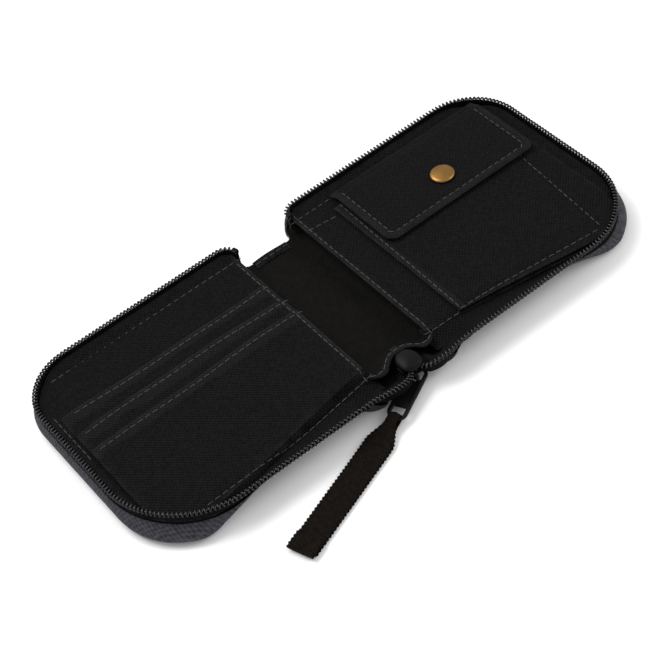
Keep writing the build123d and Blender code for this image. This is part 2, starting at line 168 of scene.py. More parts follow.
def smoothMaterial(name, look):
    material, tree, shader = startMaterial(name)
    coords = addNode(tree, "ShaderNodeTexCoord").outputs["Object"]
    grain = addNode(tree, "ShaderNodeTexNoise", None,
                    {"Vector": coords, "Scale": look["grain"], "Detail": 3.0})
    colour = addNode(tree, "ShaderNodeMix", {"data_type": "RGBA"},
                     {"Factor": grain.outputs["Fac"], "A": hexColour(look["dark"]),
                      "B": hexColour(look["light"])})
    rough = addNode(tree, "ShaderNodeMapRange", None,
                    {"Value": grain.outputs["Fac"], "To Min": look["roughness"][0],
                     "To Max": look["roughness"][1]})
    bump = addNode(tree, "ShaderNodeBump", None,
                   {"Strength": look["relief"], "Distance": 0.05 * metre, "Height": grain.outputs["Fac"]})
    setInputs(tree, shader, {"Base Color": colour.outputs["Result"], "Roughness": rough.outputs["Result"],
                             "Normal": bump.outputs["Normal"], "Metallic": look.get("metallic", 0.0),
                             "Specular IOR Level": look.get("specular", 0.5)})
    return material


# Cotton canvas, piece-dyed black. Its threads are 0.45 mm apart, but drawn at 0.7 mm, or they vanish. Its
# edges and hems are lightened, partly as rubbed wear and partly as a painted highlight.
canvas = wovenMaterial("dyed_cotton_canvas", {
    "warp": 0.7, "weft": 0.7, "waver": 0.6, "slub": 900.0, "dark": "#010101", "light": "#151415",
    "edgeWearAndHighlight": 1.4, "relief": 1.0, "depth": 0.3, "roughness": 0.95, "specular": 0.1,
})
# Plain-woven polyester lining with an olive cast. Its real 0.2 mm threads are drawn at 0.5 mm.
liningCloth = wovenMaterial("woven_polyester_lining", {
    "warp": 0.5, "weft": 0.5, "waver": 0.4, "slub": 500.0, "dark": "#010101", "light": "#0d0b08",
    "turn": (0.6, 0.6, 0.0), "relief": 0.6, "depth": 0.2, "roughness": 0.85, "specular": 0.1,
})
# Heavy polyester with a coated back, woven 0.6 mm apart, drawn at 0.8 mm.
coverCloth = wovenMaterial("coated_woven_polyester", {
    "warp": 0.8, "weft": 0.8, "waver": 0.5, "slub": 700.0, "dark": "#17161a", "light": "#403e46",
    "turn": (0.6, 0.6, 0.0), "relief": 0.7, "depth": 0.3, "roughness": 0.75, "specular": 0.3,
})
# Woven polyester zip tape, in a twill that runs along it.
tapeCloth = wovenMaterial("woven_zip_tape", {
    "warp": 0.5, "weft": 0.9, "waver": 0.3, "slub": 600.0, "dark": "#020202", "light": "#0c0c0d",
    "turn": (0.6, 0.6, 0.0), "relief": 0.5, "depth": 0.15, "roughness": 0.9, "specular": 0.1,
})
# Grosgrain webbing: the ribs are modelled, so the weave only breaks up the surface.
webbingCloth = wovenMaterial("woven_grosgrain_webbing", {
    "warp": 0.6, "weft": 0.9, "waver": 0.3, "slub": 600.0, "dark": "#030202", "light": "#16110c",
    "relief": 0.6, "depth": 0.2, "roughness": 0.85, "turn": (0.0, 0.0, 0.35), "specular": 0.08,
})
# Spun polyester sewing thread, a little lighter than the canvas.
threadCloth = smoothMaterial("spun_polyester_thread", {
    "grain": 900.0, "dark": "#2e2d2f", "light": "#565558", "roughness": (0.7, 0.85), "relief": 0.3,
    "specular": 0.15,
})
# Extruded nylon monofilament, dyed black, with a soft shine.
coilNylon = smoothMaterial("extruded_nylon_filament", {
    "grain": 400.0, "dark": "#040404", "light": "#0a0a0b", "roughness": (0.2, 0.32), "relief": 0.05,
    "specular": 0.4,
})
# Die-cast zinc with a baked black paint.
blackMetal = smoothMaterial("black_painted_die_cast_zinc", {
    "grain": 700.0, "dark": "#020202", "light": "#060607", "roughness": (0.42, 0.58), "relief": 0.12,
    "specular": 0.12,
})
# Pressed brass with an antiqued finish.
brass = smoothMaterial("antiqued_pressed_brass", {
    "grain": 250.0, "dark": "#7a5a30", "light": "#9a7340", "roughness": (0.3, 0.48), "relief": 0.1,
    "metallic": 1.0,
})


def finishMesh(name, bm, material, body=None, replaced=(), crisp=38.0):
    bmesh.ops.recalc_face_normals(bm, faces=bm.faces)
    bmesh.ops.scale(bm, vec=(metre, metre, metre), verts=bm.verts)
    for face in bm.faces:
        face.smooth = True
    limit = math.radians(crisp)
    for edge in bm.edges:
        if len(edge.link_faces) == 2 and edge.calc_face_angle(0.0) > limit:
            edge.smooth = False
    mesh = bpy.data.meshes.new(name)
    bm.to_mesh(mesh)
    bm.free()
    obj = bpy.data.objects.new(name, mesh)
    bpy.context.scene.collection.objects.link(obj)
    mesh.materials.append(material)
    if body:
        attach(obj, body)
    if replaced:
        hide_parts(*replaced)
    return obj


def turnAngles(count):
    return [2 * math.pi * k / count for k in range(count)]


def skin(bm, rows, closed=True):
    # Joins rows of points, each to the next, with quads. Closed rows also get a face at each end.
    rings = [[bm.verts.new(p) for p in row] for row in rows]
    for a, b in zip(rings, rings[1:]):
        count = len(a)
        for i in range(count if closed else count - 1):
            j = (i + 1) % count
            bm.faces.new((a[i], a[j], b[j], b[i]))
    if closed:
        bm.faces.new(rings[0])
        bm.faces.new(rings[-1])
    return rings


def withUnderside(row, cloth, shift=0.0):
    return row + [(x, y - shift, z - cloth) for x, y, z in reversed(row)]


def solid(rows):
    bm = bmesh.new()
    skin(bm, rows)
    return bm


def arcPoints(cx, cy, radius, start, end, count):
    # Points on an arc, without its last one.
    points = []
    for i in range(count):
        angle = math.radians(mix(start, end, i / count))
        points.append((cx + radius * math.cos(angle), cy + radius * math.sin(angle)))
    return points


def linePoints(a, b, count):
    return [(mix(a[0], b[0], i / count), mix(a[1], b[1], i / count)) for i in range(count)]


nearOuter = {1: 30.0, -1: 34.0}
leafForm = {"nearOuter": 30.0, "farOuter": 22.0, "nearNotch": 3.0, "farNotch": 2.0, "tapeStart": 24.3}
nearRadius = halfWidth + spineNear - leafForm["nearNotch"]
farRadius = halfWidth - spineFar - leafForm["farNotch"]


def rimPoints(inset, r, startX, endX, cornerSteps):
    # The outline's near, outer and far sides, with its two outer corners.
    q = leafForm["farOuter"]
    low, high, right = inset - halfWidth, halfWidth - inset, outerX - inset
    points = linePoints((startX, low), (outerX - r, low), 34)
    points += arcPoints(outerX - r, r - halfWidth, r - inset, 270, 360, cornerSteps)
    points += linePoints((right, r - halfWidth), (right, halfWidth - q), 26)
    points += arcPoints(outerX - q, halfWidth - q, q - inset, 0, 90, cornerSteps)
    return points + linePoints((outerX - q, high), (endX, high), 36)


def leafOutline(inset, cornerRadius=leafForm["nearOuter"]):
    # Half the opened outline, from the spine's near end round the leaf to its far end.
    a, b = leafForm["nearNotch"], leafForm["farNotch"]
    points = linePoints((0, spineNear + inset), (creaseX - a, spineNear + inset), 5)
    points += arcPoints(creaseX - a, spineNear - a, a + inset, 90, 0, 6)
    points += arcPoints(creaseX + nearRadius, nearRadius - halfWidth, nearRadius - inset, 180, 270, 14)
    points += rimPoints(inset, cornerRadius, creaseX + nearRadius, creaseX + farRadius, 22)
    points += arcPoints(creaseX + farRadius, halfWidth - farRadius, max(farRadius - inset, 0.2), 90, 180, 8)
    points += arcPoints(creaseX - b, spineFar + b, b + inset, 0, -90, 6)
    points += linePoints((creaseX - b, spineFar - inset), (0, spineFar - inset), 5)
    return points + [(0, spineFar - inset)]


def mirrored(points, side):
    return [(side * p[0], *p[1:]) for p in points]


# A cover is a padded shell with a bulging side, made in halves from the spine's middle out.
# Each step is (inset, height) at the leaf, then at the spine.
coverSteps = [
    ((5.0, 0.0), (2.5, 0.0)),
    ((3.2, 0.0), (1.2, 0.0)),
    ((1.8, 0.4), (0.5, 0.0)),
    ((0.7, 1.2), (0.15, 0.06)),
    ((-0.1, 2.2), (0.0, 0.16)),
    ((-0.5, 3.3), (0.0, 0.27)),
    ((-0.5, 4.4), (0.0, 0.38)),
    ((-0.1, 5.5), (0.15, 0.48)),
    ((0.5, 6.3), (0.4, 0.53)),
    ((0.95, 6.5), (0.7, 0.55)),
    ((1.25, 6.2), (0.9, 0.55)),
    ((1.3, 4.9), (1.2, 0.55)),
    ((1.5, 2.2), (1.6, 0.55)),
    ((4.5, 1.9), (2.5, 0.55)),
]


# The near side's wall leans outwards, from its foot up to leanTop.
nearSide = {"leanTop": 9.9, "lean": 0.78, "cornerGap": 16.0, "cornerFade": 26.0, "endFade": 5.0}
foldLines = (2, 4, 6, 7, 8, 9, 10, 11, 12, 13, 14, 16, 18)


def drawnIn(x, y):
    # 1 along the near side, fading out round its outer corner and beside the spine's end.
    if y > 0:
        return 0.0
    corner = smooth((outerX - nearSide["cornerGap"] - abs(x)) / nearSide["cornerFade"])
    return corner * smooth((spineNear - 1.0 - y) / nearSide["endFade"])


def leanShift(z):
    # How much further in a point at height z sits on the near side.
    return max(0.0, nearSide["leanTop"] - z) * nearSide["lean"]


def leadLean(p):
    # As drawnIn, and fading out along the tape's lead to the slider.
    return drawnIn(p.x, p.y) * smooth((p.x - 5.0) / 19.0)


def wallRise(x, y):
    # How far the side wall has risen, which it does away from the spine.
    x = abs(x)
    return smooth((x - creaseX - 0.5) / 9.0) if y < 0 else smooth((x - creaseX - 0.3) / 4.0)


def floorRise(x):
    return smooth((abs(x) - creaseX - 1.0) / 7.0)


def shellPoint(base, outward, leaning, tight, rise):
    # Where an outline runs: tight at the spine, and at the leaf between its upright and its leaning wall.
    lean = drawnIn(base[0], base[1])
    return [mix(s, mix(q, u, lean), rise) for q, u, s in zip(outward, leaning, tight)]


def closeHalf(rows, side, name, material, replaced):
    # Skins the rows, closes the half and cuts it across the spine's creases, so that it can bend.
    bm = bmesh.new()
    rings = skin(bm, [mirrored(row, side) for row in rows], closed=False)
    bm.faces.new([ring[0] for ring in rings] + [ring[-1] for ring in reversed(rings)])
    bm.faces.new(rings[0])
    bm.faces.new(rings[-1])
    for x in foldLines:
        everything = bm.verts[:] + bm.edges[:] + bm.faces[:]
        bmesh.ops.bisect_plane(bm, geom=everything, dist=1e-5, plane_co=(side * x, 0, 0),
                               plane_no=(1, 0, 0))
    obj = finishMesh(name, bm, material, None, replaced)
    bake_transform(obj)
    return obj


# Low down the near outer corner is fuller than the rim above it. The leaning wall stands in by "under",
# which is more on the shell's inside.
coverForm = {"fullRadius": 26.5, "fullTo": 2.5, "fullFade": 4.0,
             "under": {"out": 0.9, "in": 1.5, "rim": 1.2}}


def coverHalf(side, body, prefix):
    rows = []
    base = leafOutline(0)
    for (inset, height), (spineInset, spineHeight) in coverSteps:
        fade = smooth((height - coverForm["fullTo"]) / coverForm["fullFade"])
        fuller = mix(coverForm["fullRadius"], nearOuter[side], fade)
        part = "out"
        if inset > 1.2 and height > 2.0:
            part = "in" if height < 6.4 else "rim"
        under = coverForm["under"][part]
        outlines = [leafOutline(inset, fuller), leafOutline(under + leanShift(height), fuller),
                    leafOutline(spineInset)]
        row = []
        for p, *around in zip(base, *outlines):
            rise = wallRise(*p)
            row.append((*shellPoint(p, *around, rise), mix(spineHeight, height, rise)))
        rows.append(row)
    rows[0] = [(x, y, 0.0) for x, y, z in rows[0]]
    floorHeights = coverSteps[-1][1][1], coverSteps[-1][0][1]
    rows[-1] = [(x, y, mix(*floorHeights, floorRise(x))) for x, y, z in rows[-1]]
    parts = [f"{body}_cover", f"{body}_padding", f"{body}_board", "spine_cover"]
    obj = closeHalf(rows, side, f"{prefix}_cover", coverCloth, parts)


# A lining is a floor with a low wall. Each step is the inset at the leaf and at the spine, the share of the
# wall's height, and the drop below the floor's top.
liningWall = {
    "foot": liningLow.z, "top": liningHigh.z, "cloth": 0.4,
    "steps": [(5.4, 2.0, 0, 0.4), (3.5, 0.9, 0, 0.4), (3.2, 0.4, 0.06, 0.3), (2.7, 0.4, 0.5, 0),
              (2.3, 0.4, 0.97, 0), (2.5, 0.4, 1.0, 0), (2.7, 0.4, 0.97, 0), (3.12, 0.4, 0.5, 0),
              (3.65, 0.9, 0.12, 0), (3.9, 2.0, 0.03, 0), (4.3, 2.0, 0, 0), (5.4, 2.0, 0, 0)],
}


def liningHalf(side, body, prefix):
    floorTop = liningWall["foot"] + liningWall["cloth"]
    wall = liningWall["top"] - floorTop
    rows = []
    base = leafOutline(0)
    for inset, spineInset, share, drop in liningWall["steps"]:
        shifted = inset + leanShift(floorTop + share * wall)
        outlines = [leafOutline(inset, nearOuter[side]), leafOutline(shifted, nearOuter[side]),
                    leafOutline(spineInset)]
        row = []
        for p, *around in zip(base, *outlines):
            rise = smooth((abs(p[0]) - creaseX - 1.0) / 11.0) if p[1] < 0 else wallRise(*p)
            x, y = shellPoint(p, *around, rise)
            row.append((x, y, mix(spineHigh.z, floorTop, floorRise(x)) - drop + share * wall * rise))
        rows.append(row)
    obj = closeHalf(rows, side, f"{prefix}_lining", liningCloth,
                    [f"{body}_lining", "spine_lining"])


# The coil and its tape stand on the rim, and lead down into the slider.
zipForm = {"coilInset": 1.6, "pitch": 1.46, "across": 0.78, "upright": 0.4, "wire": 0.38, "turnPoints": 10,
           "tapeHalf": 0.3}


def zipPath(inset, cornerRadius):
    # The rim's line from the near start of the tape round to the far end of the spine.
    farCorner = halfWidth - spineFar
    points = rimPoints(inset, cornerRadius, leafForm["tapeStart"], creaseX + farCorner, 26)
    points += arcPoints(creaseX + farCorner, halfWidth - farCorner, farCorner - inset, 90, 180, 10)
    return points + [(creaseX + inset, halfWidth - farCorner)]


def curveThrough(points, count):
    # A smooth curve through points, with count steps between each two.
    padded = [points[0]] + list(points) + [points[-1]]
    out = []
    for i in range(1, len(padded) - 2):
        p = [Vector(q) for q in padded[i - 1:i + 3]]
        for k in range(count):
            t = k / count
            a = 2 * p[1] + (p[2] - p[0]) * t
            b = (2 * p[0] - 5 * p[1] + 4 * p[2] - p[3]) * t * t
            c = (3 * p[1] - p[0] - 3 * p[2] + p[3]) * t ** 3
            out.append((a + b + c) / 2)
    return out + [Vector(points[-1])]


channelZ = (sliderLow.z + sliderHigh.z) / 2
coilZ = (coilLow.z + coilHigh.z) / 2
leadPoints = [(1.3, sliderLow.y + 3.2, channelZ), (2.0, sliderLow.y + 1.0, channelZ + 0.1),
              (4.2, sliderLow.y - 1.2, channelZ + 0.7), (8.0, sliderLow.y - 2.3, channelZ + 1.6),
              (13.0, sliderLow.y - 2.5, coilZ - 0.45), (18.5, -halfWidth + 1.55, coilZ - 0.1)]


def coilLine(side):
    lead = curveThrough(leadPoints + [(leafForm["tapeStart"], -halfWidth + zipForm["coilInset"], coilZ)], 6)
    rim = [Vector((x, y, coilZ)) for x, y in zipPath(zipForm["coilInset"], nearOuter[side])]
    return lead[:-1], rim


def resample(points, step):
    # Points a fixed length apart along a line, with the line's direction at each.
    out = []
    travelled, wanted = 0.0, 0.0
    for a, b in zip(points, points[1:]):
        length = (b - a).length
        if length < 1e-9:
            continue
        while wanted <= travelled + length:
            out.append((a.lerp(b, (wanted - travelled) / length), (b - a) / length))
            wanted += step
        travelled += length
    return out


def tubeRows(points, radius, sides):
    rows = []
    for i, p in enumerate(points):
        along = (points[min(i + 1, len(points) - 1)] - points[max(i - 1, 0)]).normalized()
        out = (lastOut - along * lastOut.dot(along) if rows else along.orthogonal()).normalized()
        lastOut = out
        up = along.cross(out)
        rows.append([p + (out * math.cos(a) + up * math.sin(a)) * radius for a in turnAngles(sides)])
    return rows


def blendLead(obj):
    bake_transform(obj)


def makeCoil(side, body, prefix):
    lead, rim = coilLine(side)
    step = zipForm["pitch"] / zipForm["turnPoints"]
    samples = resample(lead + rim, step)
    turns = []
    for i, (p, along) in enumerate(samples):
        angle = 2 * math.pi * i / zipForm["turnPoints"]
        out = Vector((along.y, -along.x, 0)).normalized()
        upright = Vector((0, 0, zipForm["upright"] * math.sin(angle)))
        turns.append(p + (out * zipForm["across"] * math.cos(angle) + upright))
        if p.x < leafForm["tapeStart"] and p.y < 0:
            split = i + 1
    rows = tubeRows(turns, zipForm["wire"], 5)
    rows = [[(side * v.x, v.y, v.z) for v in row] for row in rows]
    finishMesh(f"{prefix}_zip_coil", solid(rows[split:]), coilNylon, body, [f"{body}_zip_coil"],
               crisp=80)
    bm = solid(rows[:split + 1])
    blendLead(finishMesh(f"{prefix}_zip_coil_lead", bm, coilNylon, None, crisp=80))


def makeTape(side, body, prefix):
    half = zipForm["tapeHalf"]
    top, foot = tapeHigh.z + 0.35, tapeLow.z
    lead, rim = coilLine(side)
    line = lead + rim
    rows = []
    for i, p in enumerate(line):
        along = line[min(i + 1, len(line) - 1)] - line[max(i - 1, 0)]
        along.z = 0
        along.normalize()
        out = Vector((along.y, -along.x, 0))
        drop = coilZ - p.z
        height = top - foot
        if i < len(lead):
            height *= mix(0.3, 1.0, smooth(i / len(lead)))
        high = top - drop
        ring = []
        low, middle, rounded = high - height, high - height / 2, high - 0.12
        for offset, z in ((-half, low), (-half, middle), (-half, rounded), (0, high), (half, rounded),
                          (half, middle), (half, low)):
            q = p + out * offset - out * leanShift(z + drop) * leadLean(p)
            ring.append((side * q.x, q.y, z))
        rows.append(ring)
    finishMesh(f"{prefix}_zip_tape", solid(rows[len(lead):]), tapeCloth, body,
               [f"{body}_zip_tape"])
    bm = solid(rows[:len(lead) + 1])
    blendLead(finishMesh(f"{prefix}_zip_tape_lead", bm, tapeCloth, None))


def spread(low, high, step, margin):
    # Positions between two edges, closer together near both.
    near = [0.0, 0.1, 0.3, 0.6, 1.0, 1.5, 2.1, 2.6, 3.1, 3.7, 4.5, 5.5]
    near = [v for v in near if v < margin]
    count = max(2, round((high - low - 2 * margin) / step))
    middle = [mix(low + margin, high - margin, i / count) for i in range(count + 1)]
    return [low + v for v in near] + middle + [high - v for v in reversed(near)]


def edgeGap(form, x, y):
    # The distance from a point to the plan's nearest edge.
    left, right, lowY, highY = (form[key] for key in ("left", "right", "lowY", "highY"))
    lowSlope = (lowY(min(x + 0.3, right)) - lowY(max(x - 0.3, left))) / 0.6
    highSlope = (highY(min(x + 0.3, right)) - highY(max(x - 0.3, left))) / 0.6
    fromLow = (y - lowY(x)) / math.hypot(1, lowSlope)
    fromHigh = (highY(x) - y) / math.hypot(1, highSlope)
    return max(0.0, min(x - left, right - x, fromLow, fromHigh))


def sheetMesh(form):
    # A closed sheet over a plan with straight ends in X; the form gives its middle and its half thickness.
    grid = form.get("step", 1.6), form.get("margin", 4.5)
    rows = []
    for x in spread(form["left"], form["right"], *grid):
        low, high = form["lowY"](x), form["highY"](x)
        over, under = [], []
        for t in [v / form["depth"] for v in spread(0.0, form["depth"], *grid)]:
            y = mix(low, high, t)
            d = edgeGap(form, x, y)
            middle, half = form["middle"](x, y), form["half"](x, y, d)
            over.append((form["side"] * x, y, middle + half))
            under.append((form["side"] * x, y, middle - half))
        rows.append(over + under[::-1])
    bm = solid(rows)
    # Each point's lightening is strongest within about a millimetre of an edge, in random patches, and
    # weaker along a hem band. It is partly rubbed wear and partly a painted highlight on the raised edges.
    wear_and_highlight = bm.verts.layers.float.new("wear_and_highlight")
    for v in bm.verts:
        x, y = abs(v.co.x), v.co.y
        d = edgeGap(form, x, y)
        patch = 0.5 + 0.9 * noise.noise(Vector((x / 4.0, y / 4.0, 50.0)))
        v[wear_and_highlight] = max(0.0, math.exp(-d / 0.9) * patch + form["hem"](x, y) * 0.35)
    return bm


def rolledOff(d, roll):
    # Runs from 0 at an edge to 1 at a distance roll from it, along a quarter circle.
    t = 1 - min(d / roll, 1.0)
    return math.sqrt(max(0.0, 1 - t * t))


def cornerTurn(d, radius):
    # How far a rounded corner stands in, at a distance d from its side.
    return radius - math.sqrt(max(0.0, radius ** 2 - (radius - max(d, 0.0)) ** 2)) if d < radius else 0.0


def roundedHalf(thick, roll):
    # Half thickness that rounds off over the last bit before an edge.
    return lambda x, y, d: max(0.03, thick / 2 * rolledOff(d, roll))


def hemmedHalf(thick, hemX):
    # As roundedHalf, with a doubled hem between the left edge and hemX.
    plain = roundedHalf(thick, 0.4)

    def half(x, y, d):
        return plain(x, y, d) * (1 + 0.45 * smooth((hemX + 0.4 - x) / 0.8))
    return half


def lineDistance(x, y, points):
    best = 1e9
    for (ax, ay), (bx, by) in zip(points, points[1:]):
        dx, dy = bx - ax, by - ay
        t = ((x - ax) * dx + (y - ay) * dy) / max(dx * dx + dy * dy, 1e-9)
        t = min(max(t, 0.0), 1.0)
        best = min(best, math.hypot(x - ax - t * dx, y - ay - t * dy))
    return best


def pulledDown(x, y, seams, depth, reach):
    # How far stitching pulls the cloth down beside it.
    near = min((lineDistance(x, y, s) for s in seams), default=1e9)
    return depth * math.exp(-(near / reach) ** 2)


def waviness(x, y, size, amount, seed):
    return amount * noise.noise(Vector((x / size, y / size, seed)))


def cornered(base, left, right, radius, sign, leftCorner=True, rightCorner=True):
    # An edge line that rounds off at its ends.
    def edge(x):
        value = base(x)
        for use, d in ((leftCorner, x - left), (rightCorner, right - x)):
            if use:
                value -= sign * cornerTurn(d, radius)
        return value
    return edge


# Each thread is given as (share of its half length, share of its thickness, height above the cloth).
stitchForm = {"pitch": 3.0, "length": 2.45, "thick": 0.15, "sides": 6,
              "thread": [(-1.0, 0.45, -0.14), (-0.7, 0.95, 0.02), (0.0, 1.05, 0.08), (0.7, 0.95, 0.02),
                         (1.0, 0.45, -0.14)]}


def addStitches(bm, points, topOf, side):
    # Sewn stitches along a line, each a short thread that dips into the cloth at its ends.
    line = [Vector((x, y, 0)) for x, y in points]
    for p, along in resample(line, stitchForm["pitch"]):
        across = Vector((-along.y, along.x, 0))
        rows = []
        for share, size, lift in stitchForm["thread"]:
            c = p + along * (stitchForm["length"] / 2) * share
            z = topOf(c.x, c.y) + lift
            r = stitchForm["thick"] * size
            ring = []
            for a in turnAngles(stitchForm["sides"]):
                q = c + across * math.cos(a) * r
                ring.append((side * q.x, q.y, z + math.sin(a) * r * 0.8))
            rows.append(ring)
        skin(bm, rows)


def sewSheet(name, form, material, body, replaced):
    obj = finishMesh(name, sheetMesh(form), material, body, [replaced], crisp=50)
    return obj


def topOf(form):
    def height(x, y):
        return form["middle"](x, y) + form["half"](x, y, edgeGap(form, x, y))
    return height


# The two inner panels share one plan: a slanted near edge, and the leaf's outline elsewhere.
panelForm = {"inset": 2.4, "near": -33.0, "run": 60.0, "drop": 10.5}
panelRight = outerX - panelForm["inset"]
nearR = leafForm["nearOuter"] - panelForm["inset"]
farR = leafForm["farOuter"] - panelForm["inset"]


def panelFarLine(x):
    # Beside the spine the panel's corner follows the cover's.
    corner = halfWidth - panelForm["inset"]
    return corner - 2.2 * (1 - smooth((x - panelLow.x) / 4.0))


def panelLowEdge(x):
    # The panel's near edge: the slanted line or the leaf's rounded corner, whichever is further in.
    straight = panelForm["near"] - panelForm["drop"] * (x - panelLow.x) / panelForm["run"]
    return max(straight, panelForm["inset"] - halfWidth + cornerTurn(panelRight - x, nearR))


panelHighEdge = cornered(panelFarLine, panelLow.x, panelRight, farR, 1, leftCorner=False)
panelMiddle = (panelLow.z + panelHigh.z) / 2
farSeamY = 40.3
cardSeams = {
    "far": [(12.4, farSeamY - 0.2), (92.0, farSeamY)],
    "near": [(12.4, -34.6), (23.5, -36.3), (40.0, -38.6), (62.0, -40.4), (84.0, -41.2)],
    "spine": [(14.2, -34.6), (14.2, 40.1)],
    "outer": [(99.3, 24.0), (99.3, 3.0)],
}
coinSeams = {
    "far": [(12.4, farSeamY), (90.0, farSeamY + 0.5)],
    "near": [(13.0, -33.8), (35.0, -35.2), (51.0, -37.1), (67.0, -39.2), (84.0, -41.2)],
    "spine": [(14.0, -33.6), (14.0, 44.0)],
}


def panelSurface(seams, seed):
    near = [seams["far"], seams["near"]]

    def middle(x, y):
        z = panelMiddle + waviness(x, y, 26.0, 0.28, seed)
        z -= pulledDown(x, y, near, 0.3, 0.9)
        # Past the far seam the cloth runs up to the tape, and past the near one it slopes down.
        up = max(y - seams["far"][0][1] - 1.0, x - 97.0, 0.0)
        down = max(panelLowEdge(x) + 4.0 - y, 0.0) * smooth((92.0 - x) / 10.0)
        return z + 0.75 * smooth(up / 4.0) - 0.7 * smooth(down / 5.0)
    return middle


cardPanelForm = {"side": -1, "left": panelLow.x, "right": panelRight, "depth": 2 * halfWidth - 8,
                 "lowY": panelLowEdge, "highY": panelHighEdge, "middle": panelSurface(cardSeams, 1.0),
                 "half": hemmedHalf(0.5, 14.6), "hem": lambda x, y: float(x < 14.6)}
slipPanelForm = dict(cardPanelForm, side=1, middle=panelSurface(coinSeams, 5.0))

for side, body, prefix in leaves:
    coverHalf(side, body, prefix)
    liningHalf(side, body, prefix)
    makeTape(side, body, prefix)
    makeCoil(side, body, prefix)
print("covers, linings and zip made")

sewSheet("card_panel_cloth", cardPanelForm, canvas, "card_leaf", "card_panel")
sewSheet("slip_panel_cloth", slipPanelForm, canvas, "coin_leaf", "slip_panel")

# Past each panel's near seam the cloth runs on to the tape; it lies lower beside the slider's path.
marginForm = {"from": 11.2, "to": 86.0, "steps": 60, "across": 12, "rimInset": 2.0, "lowZ": 5.7,
              "highZ": 8.3, "under": 2.2, "besideSlider": 3.6, "sag": 1.1, "cloth": 0.4}


def nearMargin(side, body, prefix):
    rows = []
    for step in range(marginForm["steps"] + 1):
        x = mix(marginForm["from"], marginForm["to"], step / marginForm["steps"])
        inner = panelLowEdge(max(x, 14.5)) + marginForm["under"]
        outerZ = mix(marginForm["lowZ"], marginForm["highZ"], smooth((x - 19.5) / 7.0))
        outer = marginForm["rimInset"] - halfWidth + cornerTurn(outerX - x, nearOuter[side])
        outer += leanShift(marginForm["highZ"]) * drawnIn(x, -halfWidth)
        outer += marginForm["besideSlider"] * (1 - smooth((x - 12.0) / 11.0))
        width = inner - outer
        if width < 0.6:
            break
        row = []
        for k in range(marginForm["across"] + 1):
            t = k / marginForm["across"]
            y, bow = mix(outer, inner, t), math.sin(math.pi * t)
            z = mix(outerZ, panelLow.z - 0.12, smooth(t * 1.15))
            z -= marginForm["sag"] * bow * min(1.0, width / 8.0)
            row.append((side * x, y, z + waviness(x, y, 9.0, 0.35 * bow, 40.0)))
        rows.append(withUnderside(row, marginForm["cloth"]))
    obj = finishMesh(f"{prefix}_near_margin", solid(rows), canvas, body, crisp=60)


# A corner cloth joins each tape's lead to the leaf, and passes under the slider.
cornerForm = {
    "start": {1: 3.3, -1: 1.8},  # the tab's rear end lies under the coin side
    "edge": [(8.0, spineNear + 0.2, 1.5), (10.8, spineNear - 4.0, 2.4), (13.5, 8.3 - halfWidth, 5.0),
             (18.0, 6.6 - halfWidth, 6.4), (leafForm["tapeStart"] + 0.5, 5.2 - halfWidth, 7.2)],
    "along": 30, "across": 6, "underSlider": 5.4, "sag": 0.8, "cloth": 0.35,
}


def nearCorner(side, body, prefix):
    start, count = cornerForm["start"][side], cornerForm["along"]
    lead = [p for p in coilLine(side)[0] if p.x > start]
    edge = curveThrough([(start + 0.2, spineNear + 1.0, spineHigh.z)] + cornerForm["edge"], 7)
    rows = []
    for i in range(count + 1):
        p, q = lead[round(i / count * (len(lead) - 1))], edge[round(i / count * (len(edge) - 1))]
        drop = mix(0.8, 2.2, i / count)
        footZ = mix(cornerForm["underSlider"], p.z - drop, smooth((p.x - 4.0) / 2.5))
        foot = Vector((p.x, p.y + 0.3 + leanShift(footZ) * leadLean(p), footZ))
        sag = cornerForm["sag"] * smooth(i / count - 0.2)
        row = []
        for k in range(cornerForm["across"] + 1):
            t = k / cornerForm["across"]
            v = foot.lerp(q, t)
            z = mix(foot.z, q.z, t ** mix(3.0, 1.0, smooth((i / count) * 3)))
            row.append((side * v.x, v.y, z - sag * math.sin(math.pi * t)))
        rows.append(withUnderside(row, cornerForm["cloth"]))
    obj = finishMesh(f"{prefix}_near_corner", solid(rows), canvas, None, crisp=60)
    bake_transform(obj)


# The spine's lining climbs to the slider's rear, and ends in a sewn hem, whose canvas is lightened all
# over, partly as rubbed wear and partly as a painted highlight.
riserForm = {
    "foot": [(0, -25.5, 1.2), (3, -25.5, 1.2), (6, -26, 1.2), (8.5, -27.5, 1.5), (10.8, -30, 2.6),
             (12.6, -32.5, 4.5)],
    "edge": [(0, -34.9, 9.2), (3.0, -35.1, 9.1), (5.6, -36.8, 8.8), (7.6, -38.4, 8.4), (10.4, -38.2, 8.0),
             (13.2, -36.4, 7.9)],
    "steps": 12, "cloth": 0.35, "hem": 0.3, "hemLifts": (0.05, 0.32, 0.36, 0.36, 0.25), "hemWearAndHighlight": 0.35,
    "pitch": 2.6, "halfLength": 1.05, "thread": [(-1.0, 0.4), (-0.7, 1.0), (0.7, 1.0), (1.0, 0.4)],
    "thick": 0.16, "threadUp": (0, 0.5, 0.85),
}


def riserPoint(foot, edge, t):
    # t is 0 at the foot and 1 at the edge.
    v = foot.lerp(edge, t)
    return Vector((v.x, v.y, mix(foot.z, edge.z, smooth(t) * 0.6 + 0.4 * t)))


